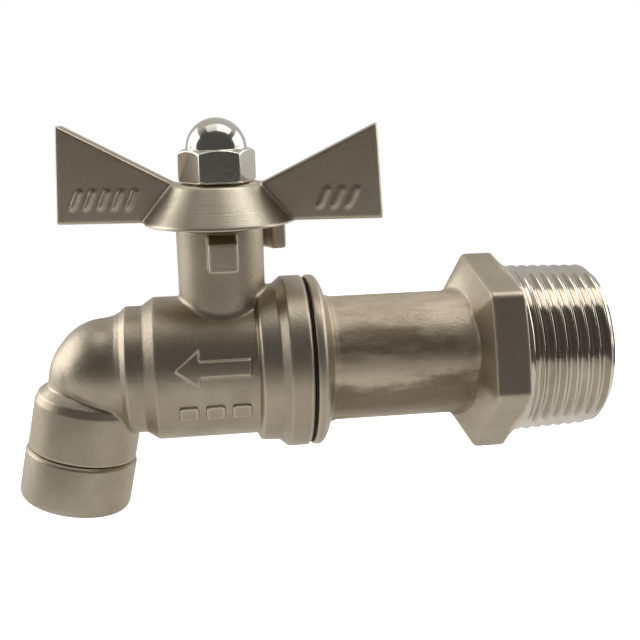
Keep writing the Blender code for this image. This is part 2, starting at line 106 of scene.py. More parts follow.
def outline_distance(u, v, points):
    """Signed distance from (u, v) to a closed outline, negative inside."""
    nearest = np.float32(1e9)
    inside = np.zeros(np.broadcast(u, v).shape, bool)
    for (u0, v0), (u1, v1) in zip(points, points[1:] + points[:1]):
        du, dv = u1 - u0, v1 - v0
        along = np.clip(((u - u0) * du + (v - v0) * dv) / (du * du + dv * dv), 0, 1)
        nearest = np.minimum(nearest, (u - u0 - along * du) ** 2 + (v - v0 - along * dv) ** 2)
        if v0 != v1:
            inside ^= ((v0 > v) != (v1 > v)) & (u < (u1 - u0) * (v - v0) / (v1 - v0) + u0)
    return np.where(inside, -1, 1) * np.sqrt(nearest)


def union(a, b, blend=0.0):
    """Two shapes in one; blend is the size of the fillet between them."""
    if blend == 0:
        return np.minimum(a, b)
    share = np.clip(0.5 + 0.5 * (b - a) / blend, 0, 1)
    return b + (a - b) * share - blend * share * (1 - share)


def overlap(a, b, blend=0.0):
    return -union(-a, -b, blend)


def minus(a, b):
    return -union(-a, b)


def rounded_plate(flat, thickness_half, across, edge_r):
    """Plate cut to a flat outline's distance, with all its edges rounded."""
    a = flat + edge_r
    b = np.abs(across) - thickness_half + edge_r
    outside = np.sqrt(np.maximum(a, 0) ** 2 + np.maximum(b, 0) ** 2)
    return np.minimum(np.maximum(a, b), 0) + outside - edge_r


def capsule(x, y, z, start, end, radius):
    """Rod with round ends in the XZ plane."""
    dx, dz = end[0] - start[0], end[1] - start[1]
    along = np.clip(((x - start[0]) * dx + (z - start[1]) * dz) / (dx * dx + dz * dz), 0, 1)
    return np.sqrt((x - start[0] - along * dx) ** 2 + y ** 2 + (z - start[1] - along * dz) ** 2) - radius


def spout_coordinates(x, y, z):
    """Distance down the spout axis, and distance from it."""
    lean_x, lean_z = -math.sin(SPOUT_LEAN), -math.cos(SPOUT_LEAN)
    down = (x - SPOUT_ROOT_X) * lean_x + z * lean_z
    across = (x - SPOUT_ROOT_X) * lean_z - z * lean_x
    return down, np.sqrt(across ** 2 + y ** 2)


def bent_tube(x, y, z, radius_in, radius_out, start_x, end_l):
    """Straight run, bend about a pivot under the bore, run down the spout."""
    pivot_z = -BEND_R
    angle = np.clip(np.arctan2(BEND_START_X - x, z - pivot_z), 0, BEND_ANGLE)
    radius = radius_in + (radius_out - radius_in) * angle / BEND_ANGLE
    bend = np.sqrt((x - BEND_START_X + BEND_R * np.sin(angle)) ** 2 + y ** 2
                   + (z - pivot_z - BEND_R * np.cos(angle)) ** 2) - radius
    level = capsule(x, y, z, (start_x, 0), (BEND_START_X, 0), radius_in)
    bend_end = (BEND_START_X - BEND_R * math.sin(BEND_ANGLE), pivot_z + BEND_R * math.cos(BEND_ANGLE))
    spout_end = (SPOUT_ROOT_X - end_l * math.sin(SPOUT_LEAN), -end_l * math.cos(SPOUT_LEAN))
    falling = capsule(x, y, z, bend_end, spout_end, radius_out)
    return union(union(bend, level), falling, 0.1)


# ---------------------------------------------------------------- meshing

SLOPE_REACH = 0.7           # grid steps to either side over which a slope is read
EDGE_BLUR_ROUNDS = 2             # rounds of blur whose change of the field tells an edge from a flat


def place(name, points, faces, normals, body, nodes, finish, highlight_mask=None):
    """Object from points in millimetres, riding on a body, in place of CAD nodes if any are named."""
    mesh = bpy.data.meshes.new(name)
    mesh.from_pydata((points * MM + np.array(CENTRE)).tolist(), [], faces)
    mesh.shade_smooth()
    if normals is not None:
        mesh.normals_split_custom_set_from_vertices(normals.tolist())
    # Edge mask, which the finishes turn into a painted highlight along sharp edges.
    if highlight_mask is not None:
        attribute = mesh.attributes.new("edge_highlight_mask", "FLOAT", "POINT")
        attribute.data.foreach_set("value", highlight_mask.astype(np.float32))
    mesh.materials.append(finish)
    obj = bpy.data.objects.new(name, mesh)
    bpy.context.scene.collection.objects.link(obj)
    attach(obj, body)
    if nodes:
        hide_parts(*nodes)
    return obj


def read_field(depth, points):
    """Field's value at points given in grid steps, between its grid values."""
    limit = np.array(depth.shape) - 2
    cell = np.clip(np.floor(points).astype(int), 0, limit)
    part = points - cell
    total = 0
    for corner in np.ndindex(2, 2, 2):
        weight = np.prod(np.where(corner, part, 1 - part), axis=1)
        i, j, k = (cell + corner).T
        total = total + weight * depth[i, j, k]
    return total


def slope_of_field(depth, points):
    """Field's slope at points given in grid steps, from its values on both sides of them."""
    columns = []
    for axis in range(3):
        shift = np.zeros(3)
        shift[axis] = SLOPE_REACH
        rise = read_field(depth, points + shift) - read_field(depth, points - shift)
        columns.append(rise / (2 * SLOPE_REACH))
    return np.stack(columns, axis=1)


def soften(depth, rounds):
    """Blur a field in place by under a grid step a round, which takes the edge off its corners."""
    for axis in range(3):
        slices = np.moveaxis(depth, axis, 0)
        for _ in range(rounds):
            slices[1:-1] = (slices[:-2] + 2 * slices[1:-1] + slices[2:]) / 4


def crossing_points(depth, cells, corners):
    """Mean of the places where the field changes sign on the edges of each cell, in grid steps."""
    values = np.stack([depth[tuple((cells + corner).T)] for corner in corners], axis=1)
    total = np.zeros((len(cells), 3))
    count = np.zeros(len(cells))
    for a, first in enumerate(corners):
        for b, second in enumerate(corners):
            if b > a and sum(abs(p - q) for p, q in zip(first, second)) == 1:
                crossed = (values[:, a] < 0) != (values[:, b] < 0)
                change = np.where(crossed, values[:, a] - values[:, b], 1)
                share = np.where(crossed, values[:, a] / change, 0)
                point = np.array(first) + share[:, None] * (np.array(second) - np.array(first))
                total += point * crossed[:, None]
                count += crossed
    return cells + total / count[:, None]


def crossing_quads(inside, numbers):
    """One quad round each grid edge that the surface crosses, facing outward."""
    quads = []
    for axis in range(3):
        across = np.zeros(3, int)
        across[(axis + 1) % 3] = 1
        upward = np.zeros(3, int)
        upward[(axis + 2) % 3] = 1
        here = np.moveaxis(np.moveaxis(inside, axis, 0)[:-1], 0, axis)
        there = np.moveaxis(np.moveaxis(inside, axis, 0)[1:], 0, axis)
        edges = np.argwhere(here != there)
        leaving = here[tuple(edges.T)]
        around = [numbers[tuple((edges - offset).T)]
                  for offset in (across + upward, upward, 0 * upward, across)]
        ring = np.stack(around, axis=1)
        ring[~leaving] = ring[~leaving][:, ::-1]
        quads.append(ring)
    return np.concatenate(quads).tolist()


def skin(field, low, high, step, softening):
    """Closed mesh where a field changes sign: points in millimetres, quads, normals, and an edge mask,
    which is 0 on a flat and grows with the sharpness of the edge that a point is on. The finishes paint a
    highlight along sharp edges from it."""
    axes = [np.arange(a, b + step, step, dtype=np.float32) for a, b in zip(low, high)]
    depth = field(axes[0][:, None, None], axes[1][None, :, None], axes[2][None, None, :])
    depth = depth.astype(np.float32)
    soften(depth, softening)
    inside = depth < 0
    corners = list(np.ndindex(2, 2, 2))
    shape = np.array(depth.shape) - 1
    filled = sum(inside[i:i + shape[0], j:j + shape[1], k:k + shape[2]].astype(np.uint8)
                 for i, j, k in corners)
    active = (filled > 0) & (filled < len(corners))
    cells = np.argwhere(active)
    numbers = np.full(active.shape, -1)
    numbers[active] = np.arange(len(cells))
    points = crossing_points(depth, cells, corners)
    for _ in range(2):
        slope = slope_of_field(depth, points)
        points -= (read_field(depth, points) / np.sum(slope ** 2, axis=1))[:, None] * slope
    normals = slope_of_field(depth, points)
    normals /= np.linalg.norm(normals, axis=1)[:, None]
    # Edge mask for the painted edge highlight: how much a light blur changes the field at each point.
    blurred = depth.copy()
    soften(blurred, EDGE_BLUR_ROUNDS)
    highlight_mask = read_field(blurred - depth, points) / step
    return points * step + np.array(low), crossing_quads(inside, numbers), normals, highlight_mask


def cast_piece(name, field, low, high, step, softening, body, nodes, finish):
    """Object skinned over a field, inside a box given by two corners in millimetres."""
    points, quads, normals, highlight_mask = skin(field, low, high, step, softening)
    return place(name, points, quads, normals, body, nodes, finish, highlight_mask)


def round_corners(outline, radius, pieces=4):
    """Closed outline with its corners replaced by short arcs."""
    smooth = []
    size = len(outline)
    for i in range(size):
        before, corner, after = (Vector(outline[(i + k) % size]) for k in (-1, 0, 1))
        reach = min(radius, (before - corner).length * 0.45, (after - corner).length * 0.45)
        start = corner + (before - corner).normalized() * reach
        end = corner + (after - corner).normalized() * reach
        for k in range(pieces + 1):
            t = k / pieces
            smooth.append((1 - t) ** 2 * start + 2 * t * (1 - t) * corner + t * t * end)
    return smooth


def lathe(name, outline, turn, body, nodes, finish, steps=160, edge_r=0.25):
    """Ring turned from a closed (radius, height) outline. turn takes local Z to its axis."""
    section = round_corners(outline, edge_r)
    rows = len(section)
    points = []
    for k in range(steps):
        angle = 2 * math.pi * k / steps
        cosine, sine = math.cos(angle), math.sin(angle)
        points += [turn @ Vector((radius * cosine, radius * sine, height)) for radius, height in section]
    faces = []
    for k in range(steps):
        near, far = k * rows, (k + 1) % steps * rows
        for i in range(rows):
            j = (i + 1) % rows
            faces.append((near + i, near + j, far + j, far + i))
    obj = place(name, np.array(points), faces, None, body, nodes, finish)
    obj.data.set_sharp_from_angle(angle=math.radians(40))
    return obj


def turned_distance(height, radius, outline):
    """Signed distance to (radius, height) points turned about their axis, through a fine table."""
    step = 0.1
    lowest = float(height.min())
    heights = np.arange(lowest, float(height.max()) + 2 * step, step)
    radii = np.arange(0, float(radius.max()) + 2 * step, step)
    table = outline_distance(radii[None, :], heights[:, None], outline).astype(np.float32)
    row = (height - lowest) / step
    column = radius / step
    i, j = row.astype(np.int32), column.astype(np.int32)
    row, column = row - i, column - j
    return ((table[i, j] * (1 - row) + table[i + 1, j] * row) * (1 - column)
            + (table[i, j + 1] * (1 - row) + table[i + 1, j + 1] * row) * column)


# ---------------------------------------------------------------- the cast body

HOUSING = [
    (BELOW_AXIS, FLANGE_FACE_X), (FLANGE_R - 0.45, FLANGE_FACE_X), (FLANGE_R, FLANGE_FACE_X - 0.45),
    (FLANGE_R, 9.3), (SHOULDER_R + 0.15, 8.0), (SHOULDER_R, 5.2), (SHOULDER_R - 0.4, 4.9),
    (HOUSING_R, 4.6), (HOUSING_R, -10.9), (COLLAR_R + 0.15, -12.5), (COLLAR_R, -12.8),
    (COLLAR_R, -15.3), (9.2, -16.15), (8.75, -17.0), (8.2, -18.7), (BELOW_AXIS, -18.7),
]
CHAMBER = [(BELOW_AXIS, 14.0), (10.3, 14.0), (10.3, 5.6), (8.8, 5.6), (8.8, -8.5), (BELOW_AXIS, -8.5)]
STEM_WAY = [(BELOW_AXIS, 24.0), (5.2, 24.0), (5.2, 16.4), (4.0, 16.4), (4.0, 12.0), (5.7, 12.0),
            (5.7, 6.0), (BELOW_AXIS, 6.0)]
TOWER = [(BELOW_AXIS, TOWER_TOP_Z), (TOWER_R - 0.3, TOWER_TOP_Z), (TOWER_R, TOWER_TOP_Z - 0.3),
         (TOWER_R, 4.0), (BELOW_AXIS, 4.0)]
SPOUT_BAND = [(BELOW_AXIS, 2.5), (6.4, 2.5), (7.3, 3.3), (8.1, 4.1), (SPOUT_R, 5.3),
              (SPOUT_R, SEAM_L - 0.3), (SPOUT_R - 0.2, SEAM_L - 0.04), (NIPPLE_R, SEAM_L - 0.04),
              (NIPPLE_R, NIPPLE_END_L), (BELOW_AXIS, NIPPLE_END_L)]
SPOUT_BORE = [(BELOW_AXIS, 10.0), (6.0, 10.0), (6.0, 19.0), (BELOW_AXIS, 19.0)]
FLOW_ARROW = [(-8.0, 2.3), (-4.4, 5.1), (-4.4, 3.5), (3.4, 3.5), (3.4, 1.1), (-4.4, 1.1), (-4.4, -0.5)]
MARK_RELIEF = 0.38
PAD_MIDDLES = (-6.2, -2.2, 1.8)
PAD_Z = -4.7
PAD_HALF_WIDTH, PAD_HALF_HEIGHT = 1.4, 1.1
LUG_HALF = 2.2
ELBOW_IN_R, ELBOW_OUT_R = 8.4, 6.8


def bar(u, v, middle, half_length, half_height):
    """Distance to a flat bar with round corners, in its own plane."""
    corner = 0.4
    a = np.abs(u - middle[0]) - half_length + corner
    b = np.abs(v - middle[1]) - half_height + corner
    outside = np.sqrt(np.maximum(a, 0) ** 2 + np.maximum(b, 0) ** 2)
    return outside + np.minimum(np.maximum(a, b), 0) - corner


def stop_lug(x, y, z):
    """Block on the tower whose top slopes back up to it."""
    outline = [(TOWER_R - 2, 16.3), (8.9, 16.3), (8.9, 20.6), (TOWER_R + 0.2, 21.6), (TOWER_R - 2, 21.6)]
    return rounded_plate(outline_distance(y, z, outline), LUG_HALF, x, 0.35)


def body_field(x, y, z):
    """Housing, tower with two stop lugs, elbow and spout, with raised marks and the water way."""
    r = np.sqrt(y ** 2 + z ** 2)
    shape = turned_distance(x, r, HOUSING)
    shape = union(shape, turned_distance(z, np.sqrt(x ** 2 + y ** 2), TOWER), 0.7)
    shape = union(shape, stop_lug(x, -y, z), 0.35)
    shape = union(shape, stop_lug(x, y, z), 0.35)
    shape = union(shape, bent_tube(x, y, z, ELBOW_IN_R, ELBOW_OUT_R, -14.0, 4.8), 0.3)
    down, off_spout = spout_coordinates(x, y, z)
    shape = union(shape, turned_distance(down, off_spout, SPOUT_BAND), 0.12)
    marks = outline_distance(x, z, FLOW_ARROW)
    for middle in PAD_MIDDLES:
        marks = union(marks, bar(x, z, (middle, PAD_Z), PAD_HALF_WIDTH, PAD_HALF_HEIGHT))
    raised = overlap(overlap(marks, r - HOUSING_R - MARK_RELIEF), y + 2)
    shape = union(shape, raised, 0.25)
    shape = minus(shape, turned_distance(x, r, CHAMBER))
    shape = minus(shape, turned_distance(z, np.sqrt(x ** 2 + y ** 2), STEM_WAY))
    shape = minus(shape, bent_tube(x, y, z, WATER_WAY_R, WATER_WAY_R, -8.0, 12.0))
    return minus(shape, turned_distance(down, off_spout, SPOUT_BORE))


# ---------------------------------------------------------------- the shank

SHANK = [
    (BELOW_AXIS, 45.5), (NECK_R, 45.5), (NECK_R, 17.0), (NECK_R + 0.22, 16.8), (NECK_R + 0.22, 16.3),
    (NECK_R + 0.5, 16.05), (NECK_R + 1.0, 15.85), (12.2, 15.4), (13.1, 14.95), (13.55, 14.55),
    (FLANGE_R, 14.15), (FLANGE_R, 13.3), (FLANGE_R - 0.1, JOINT_RIGHT_X), (10.0, JOINT_RIGHT_X),
    (10.0, 5.9), (BELOW_AXIS, 5.9),
]
SHANK_BORE = [(BELOW_AXIS, 62.0), (INLET_BORE_R, 62.0), (INLET_BORE_R, 12.5), (5.4, 11.0), (5.4, 8.5),
              (8.8, 8.5), (8.8, 4.0), (BELOW_AXIS, 4.0)]
OVAL_X = 36.3               # where the hexagon's left draft starts in the neck
OVAL_HALF_U, OVAL_HALF_V = 3.0, math.sqrt(98.0)
HEX_LEFT_X, HEX_RIGHT_X = 40.05, 44.8


def shank_field(x, y, z):
    """Flange, neck and spigot in one outline, and a tilted hexagon with drafted ends."""
    r = np.sqrt(y ** 2 + z ** 2)
    neck = turned_distance(x, r, SHANK)
    u = z * math.sin(HEX_TILT) - y * math.cos(HEX_TILT)
    v = y * math.sin(HEX_TILT) + z * math.cos(HEX_TILT)
    reach = np.maximum(r, 0.5)
    off_axis = (u / reach) ** 2
    angle = np.arctan2(v, u)
    off_face = (angle + math.pi / 6) % (math.pi / 3) - math.pi / 6
    hex_r = np.minimum(HEX_HALF / np.cos(off_face), HEX_CORNER_R)
    sides = np.abs(u)
    for side in (-1, 1):
        sides = np.maximum(sides, np.abs(u / 2 + side * v * math.sqrt(0.75)))
    sides = overlap(sides - HEX_HALF, r - HEX_CORNER_R, 0.2)
    # Both ends are drafted: lofts from an oval in the neck, and down to the thread's circle.
    oval = 1 / np.sqrt(off_axis / OVAL_HALF_U ** 2 + (1 - off_axis) / OVAL_HALF_V ** 2)
    left_end = HEX_LEFT_X + 0.55 * off_axis
    left = OVAL_X + (left_end - OVAL_X) * (r - oval) / (hex_r - oval)
    right_end = HEX_RIGHT_X + 1.2 * off_axis
    right = right_end + (THREAD_START_X - right_end) * (hex_r - r) / (hex_r - THREAD_CREST_R)
    ends = overlap((left - x) * 0.87, np.maximum((x - right) * 0.9, x - THREAD_START_X - 0.15), 0.2)
    shape = union(neck, overlap(sides, ends, 0.25), 0.5)
    return minus(shape, turned_distance(x, r, SHANK_BORE))


CREST_SHARE = 0.12
CREST_SHIFT = 0.07          # turns by which the first crest lies past the start
ROOT_POWER = 1.8
CREST_TAPER = 0.5
THREAD_DEPTH = 1.1
THREAD_TURNS = 11
THREAD_COLUMNS, ROWS_PER_TURN = 128, 14


def thread_depth(turns):
    """Share of the full depth at a place along the thread, counted in turns from a crest:
    a narrow crest with a wide round root."""
    share = abs((turns + 0.5) % 1 - 0.5) * 2
    flank = max((share - CREST_SHARE) / (1 - CREST_SHARE), 0)
    return 1 - (1 - flank) ** ROOT_POWER


def inlet_thread(finish):
    """Male thread with its end face and bore. Each row of points follows the helix."""
    columns, per_turn = THREAD_COLUMNS, ROWS_PER_TURN
    first = THREAD_START_X - 1.5 * THREAD_PITCH
    start, end = THREAD_START_X - 0.5, STEM_TO_INLET
    points, faces = [], []
    tail = [(11.9, end), (8.0, end), (INLET_BORE_R + 0.4, end - 0.25), (INLET_BORE_R, end - 0.7),
            (INLET_BORE_R, end - 6), (INLET_BORE_R, start)]
    body_rows = THREAD_TURNS * per_turn
    rows = body_rows + len(tail)
    for k in range(columns):
        angle = 2 * math.pi * k / columns
        section = []
        for row in range(body_rows):
            x = first + (row / per_turn + k / columns) * THREAD_PITCH
            share = (x - THREAD_START_X) / (STEM_TO_INLET - THREAD_START_X)
            run_out = min(max((x - THREAD_START_X - 0.4) / THREAD_PITCH, 0), 1)
            depth = THREAD_DEPTH * thread_depth(row / per_turn - CREST_SHIFT) * run_out
            radius = THREAD_CREST_R - CREST_TAPER * share - depth
            section.append((min(radius, 12.0 + 1.05 * max(end - x, 0)), min(max(x, start), end)))
        for radius, x in section + tail:
            points.append((x, radius * math.sin(angle), -radius * math.cos(angle)))
    for k in range(columns):
        near, far = k * rows, (k + 1) % columns * rows
        shift = per_turn if k == columns - 1 else 0
        for row in range(body_rows - 1 - shift):
            faces.append((near + row, near + row + 1, far + row + 1 + shift, far + row + shift))
        for row in range(body_rows - 1, rows - 1):
            faces.append((near + row, near + row + 1, far + row + 1, far + row))
        faces.append((near + rows - 1, near, far, far + rows - 1))
    obj = place("inlet_thread", np.array(points), faces, None, "tap_body", (), finish)
    merge(obj, 0.002)
    return obj


def merge(obj, distance):
    """Join points closer than a distance in millimetres, and drop the faces that this flattens."""
    bm = bmesh.new()
    bm.from_mesh(obj.data)
    bmesh.ops.remove_doubles(bm, verts=bm.verts, dist=distance * MM)
    bmesh.ops.dissolve_degenerate(bm, edges=bm.edges, dist=distance * MM / 4)
    bmesh.ops.recalc_face_normals(bm, faces=bm.faces)
    bm.to_mesh(obj.data)
    bm.free()
    obj.data.set_sharp_from_angle(angle=math.radians(50))


# ---------------------------------------------------------------- the handle and its nut

CONE_TOP_R, CONE_TOP_Z = 7.06, 28.7
CONE_FOOT_R, CONE_FOOT_Z = 11.6, 23.2
HUB_CEILING_Z = 25.2        # of the hollow under the cone
CONE = [(BELOW_AXIS, 28.85), (6.84, 28.85), (CONE_TOP_R, CONE_TOP_Z), (CONE_FOOT_R, CONE_FOOT_Z),
        (CONE_FOOT_R, 22.85), (8.7, 22.85), (8.7, 24.0), (7.2, HUB_CEILING_Z),
        (BELOW_AXIS, HUB_CEILING_Z)]
CONE_SLOPE = (CONE_FOOT_R - CONE_TOP_R) / (CONE_TOP_Z - CONE_FOOT_Z)
WINGS = [(25.35, 23.3), (24.5, 37.7), (6.44, 28.75), (-6.44, 28.75), (-24.5, 38.05), (-25.35, 22.77)]
WING_HALF = 1.5
WING_CUT_R = 8.0            # the wings are cut away inside this, below the hub's ceiling
STEM_HOLE_R, STEM_HOLE_HALF, STEM_HOLE_TOP_Z = 3.95, 3.15, 28.4
RECESS_R, RECESS_Z = 4.9, 27.9
GRIP_MIDDLES = (-22.0, -19.8, -17.6, -15.4, -13.2, 16.4, 18.6, 20.8)
GRIP_Z = 26.6
GRIP_SLANT = -0.45
GRIP_HALF_WIDTH, GRIP_HALF_HEIGHT = 0.45, 1.5
NUT_HALF = 5.2
NUT_TOP_Z = 34.1
DOME_R = 4.65
NUT_TURN = math.radians(2.0)
NUT_BORE_R = 3.1
NUT_BORE_LOW_Z, NUT_BORE_HIGH_Z = 28.0, 35.0
DOME_FOOT_Z = 33.0
TAB_FIRST, TAB_LAST = math.radians(15.65), math.radians(74.35)
TAB_R, TAB_HALF = 9.975, 1.2
TAB_LOW_Z, TAB_HIGH_Z = 17.8, 23.6


def handle_field(x, y, z):
    """Cone hub, two wings with grip ribs, and the stop tab under the rim."""
    r = np.sqrt(x ** 2 + y ** 2)
    cone = turned_distance(z, r, CONE)
    u = x * math.cos(CLOCKING) + y * math.sin(CLOCKING)
    v = y * math.cos(CLOCKING) - x * math.sin(CLOCKING)
    plate = rounded_plate(outline_distance(u, z, WINGS), WING_HALF, v, 0.3)
    along = u + GRIP_SLANT * (z - GRIP_Z)
    ribs = bar(along, z, (GRIP_MIDDLES[0], GRIP_Z), GRIP_HALF_WIDTH, GRIP_HALF_HEIGHT)
    for middle in GRIP_MIDDLES[1:]:
        ribs = union(ribs, bar(along, z, (middle, GRIP_Z), GRIP_HALF_WIDTH, GRIP_HALF_HEIGHT))
    plate = union(plate, overlap(ribs, np.abs(v + 1.0) - 0.75), 0.2)
    plate = minus(plate, np.maximum(r - WING_CUT_R, z - HUB_CEILING_Z))
    shape = union(cone, plate, 0.5)
    middle = (TAB_FIRST + TAB_LAST) / 2
    around = np.abs(np.arctan2(y, x) - middle) - (TAB_LAST - TAB_FIRST) / 2
    ring = np.maximum(np.abs(r - TAB_R) - TAB_HALF, np.maximum(TAB_LOW_Z - z, z - TAB_HIGH_Z))
    shape = union(shape, overlap(ring, around * r, 0.5), 0.3)
    hole = overlap(r - STEM_HOLE_R, np.abs(v) - STEM_HOLE_HALF)
    hole = overlap(hole, z - STEM_HOLE_TOP_Z)
    recess = np.maximum(r - RECESS_R, RECESS_Z - z)
    return minus(minus(shape, hole), recess)


def nut_field(x, y, z):
    """Hexagon with chamfered corners under a dome, hollow for the stem."""
    r = np.sqrt(x ** 2 + y ** 2)
    u = x * math.cos(NUT_TURN) + y * math.sin(NUT_TURN)
    v = y * math.cos(NUT_TURN) - x * math.sin(NUT_TURN)
    sides = np.abs(v)
    for side in (-1, 1):
        sides = np.maximum(sides, np.abs(v / 2 + side * u * math.sqrt(0.75)))
    corner_r = NUT_HALF / math.cos(math.pi / 6)
    envelope = [(BELOW_AXIS, NUT_TOP_Z), (corner_r - 0.9, NUT_TOP_Z), (corner_r + 0.1, NUT_TOP_Z - 0.6),
                (corner_r + 0.1, 29.45), (corner_r - 0.4, 29.1), (BELOW_AXIS, 29.1)]
    shape = overlap(sides - NUT_HALF, turned_distance(z, r, envelope))
    dome = np.sqrt(r ** 2 + np.maximum(z - NUT_TOP_Z, 0) ** 2) - DOME_R
    shape = union(shape, np.maximum(dome, DOME_FOOT_Z - z))
    bore = np.maximum(r - NUT_BORE_R, np.maximum(NUT_BORE_LOW_Z - z, z - NUT_BORE_HIGH_Z))
    return minus(shape, bore)


# ---------------------------------------------------------------- finishes

class Graph:
    """One material, with short ways to add and link its nodes."""

    def __init__(self, name):
        self.material = bpy.data.materials.new(name)
        self.material.use_nodes = True
        self.tree = self.material.node_tree
        self.shader = self.tree.nodes["Principled BSDF"]
        self.place = self.add("ShaderNodeTexCoord").outputs["Object"]

    def add(self, kind, links=(), **settings):
        node = self.tree.nodes.new(kind)
        for key, value in settings.items():
            setattr(node, key, value)
        for socket, value in dict(links).items():
            if isinstance(value, bpy.types.NodeSocket):
                self.tree.links.new(value, node.inputs[socket])
            else:
                node.inputs[socket].default_value = value
        return node

    def link(self, output, socket):
        self.tree.links.new(output, self.shader.inputs[socket])

    def noise(self, vector, scale, detail=3.0, roughness=0.55):
        node = self.add("ShaderNodeTexNoise", {"Vector": vector, "Scale": scale, "Detail": detail,
                                               "Roughness": roughness})
        return node.outputs["Fac"]

    def remap(self, value, low, high, to_low, to_high):
        node = self.add("ShaderNodeMapRange", {"Value": value, "From Min": low, "From Max": high,
                                               "To Min": to_low, "To Max": to_high})
        return node.outputs["Result"]

    def mix(self, share, first, second):
        node = self.add("ShaderNodeMix", data_type="RGBA")
        for socket, value in ((0, share), (6, first), (7, second)):
            if isinstance(value, bpy.types.NodeSocket):
                self.tree.links.new(value, node.inputs[socket])
            else:
                node.inputs[socket].default_value = value if socket == 0 else (*value, 1.0)
        return node.outputs[2]

    def bump(self, height, depth_mm, below=None):
        """Bump whose full height is given in millimetres."""
        node = self.add("ShaderNodeBump", {"Height": height, "Distance": depth_mm * MM, "Strength": 1.0})
        if below is not None:
            self.tree.links.new(below, node.inputs["Normal"])
        return node.outputs["Normal"]

    def turned_place(self, axis):
        """Place on a turned piece: along the axis and away from it, the same all round it."""
        centre = (CENTRE.x, 0, 0)
        offset = self.add("ShaderNodeVectorMath", {0: self.place, 1: centre}, operation="SUBTRACT")
        keep = {"X": (1, 0, 0), "Z": (0, 0, 1)}[axis]
        drop = {"X": (0, 1, 1), "Z": (1, 1, 0)}[axis]
        along = self.add("ShaderNodeVectorMath", {0: offset.outputs[0], 1: keep}, operation="MULTIPLY")
        across = self.add("ShaderNodeVectorMath", {0: offset.outputs[0], 1: drop}, operation="MULTIPLY")
        radius = self.add("ShaderNodeVectorMath", {0: across.outputs[0]}, operation="LENGTH")
        height = self.add("ShaderNodeVectorMath", {0: along.outputs[0], 1: keep},
                          operation="DOT_PRODUCT")
        joined = self.add("ShaderNodeCombineXYZ", {"X": height.outputs["Value"],
                                                   "Y": radius.outputs["Value"]})
        return joined.outputs[0]


LATHE_LINES_SCALE = 4500.0
HIGHLIGHT_FROM, HIGHLIGHT_TO = 0.05, 0.25     # range of the edge mask over which edges are painted lighter, a painted highlight
# How far edges are painted towards the lighter tone (painted edge highlight), and how much lighter that
# tone is. The same lighter tone serves the painted highlight bands on the neck.
HIGHLIGHT_SHARE = 0.8
HIGHLIGHT_GAIN = 1.35
# Darkening of the painted dark band on the neck, a painted dark reflection.
DARK_BAND_GAIN = 0.72


def painted_reflection_bands(graph, blotch):
    """Shares of the painted highlight bands, half way up the neck and near its top, and of a painted
    dark band in its lower half: reflections of the room painted into the colour by height."""
    height = graph.add("ShaderNodeSeparateXYZ", {0: graph.place}).outputs["Z"]
    waver = graph.remap(blotch, 0.3, 0.7, -1.6 * MM, 1.6 * MM)
    height = graph.add("ShaderNodeMath", {0: height, 1: waver}, operation="ADD").outputs[0]
    from_middle = graph.add("ShaderNodeMath", {0: height, 1: -0.3 * MM}, operation="ADD").outputs[0]
    from_middle = graph.add("ShaderNodeMath", {0: from_middle}, operation="ABSOLUTE").outputs[0]
    below = graph.remap(height, -2.8 * MM, -0.9 * MM, 0.9, 0.0)
    above_underside = graph.remap(height, -8.4 * MM, -5.4 * MM, 0.0, 1.0)
    painted_dark_band = graph.add("ShaderNodeMath", {0: below, 1: above_underside}, operation="MULTIPLY").outputs[0]
    half_way = graph.remap(from_middle, 0.5 * MM, 2.0 * MM, 0.75, 0.0)
    upper = graph.remap(height, 5.0 * MM, 7.0 * MM, 0.0, 0.45)
    painted_light_bands = graph.add("ShaderNodeMath", {0: half_way, 1: upper}, operation="MAXIMUM").outputs[0]
    return painted_light_bands, painted_dark_band


def plated_metal(name, light, dark, *, roughness, blotch_scale, grain_mm, grain_scale, blotch_share=0.15,
                 streak=1.0, brushed=None, brush_mm=0.0, banded=False):
    """Metal with blotches of two tones, uneven gloss, a painted highlight that lightens sharp edges,
    blasted grain, and lathe lines about the axis named by brushed. A streak under 1 draws the blotches
    out along X."""
    graph = Graph(name)
    drawn = graph.add("ShaderNodeVectorMath", {0: graph.place, 1: (streak, 1, 1)}, operation="MULTIPLY")
    blotch = graph.noise(drawn.outputs[0], blotch_scale, 4.0, 0.6)
    fine = graph.noise(graph.place, grain_scale, 2.0, 0.5)
    tone = graph.remap(blotch, 0.5 - blotch_share, 0.5 + blotch_share, 0.0, 1.0)
    colour = graph.mix(tone, dark, light)
    # Painted edge highlight: sharp edges, read from the edge mask, are mixed towards a lighter tone.
    edge = graph.add("ShaderNodeAttribute", attribute_name="edge_highlight_mask").outputs["Fac"]
    painted_edge = graph.remap(edge, HIGHLIGHT_FROM, HIGHLIGHT_TO, 0.0, HIGHLIGHT_SHARE)
    brighter = tuple(min(1.0, c * HIGHLIGHT_GAIN) for c in light)
    # Painted reflection bands on the neck: first a painted dark band, then painted highlight bands, set
    # by height.
    if banded:
        painted_light_bands, painted_dark_share = painted_reflection_bands(graph, blotch)
        colour = graph.mix(painted_dark_share, colour, tuple(c * DARK_BAND_GAIN for c in dark))
        colour = graph.mix(painted_light_bands, colour, brighter)
    graph.link(graph.mix(painted_edge, colour, brighter), "Base Color")
    graph.shader.inputs["Metallic"].default_value = 1.0
    gloss = graph.remap(blotch, 0.3, 0.7, roughness * 1.1, roughness * 0.9)
    patches = graph.add("ShaderNodeMath", {0: gloss, 1: graph.remap(fine, 0.3, 0.7, -0.04, 0.04)},
                        operation="ADD")
    graph.link(patches.outputs[0], "Roughness")
    normal = graph.bump(fine, grain_mm)
    if brushed:
        lines = graph.noise(graph.turned_place(brushed), LATHE_LINES_SCALE, 2.0, 0.7)
        normal = graph.bump(lines, brush_mm, normal)
    graph.link(normal, "Normal")
    return graph.material


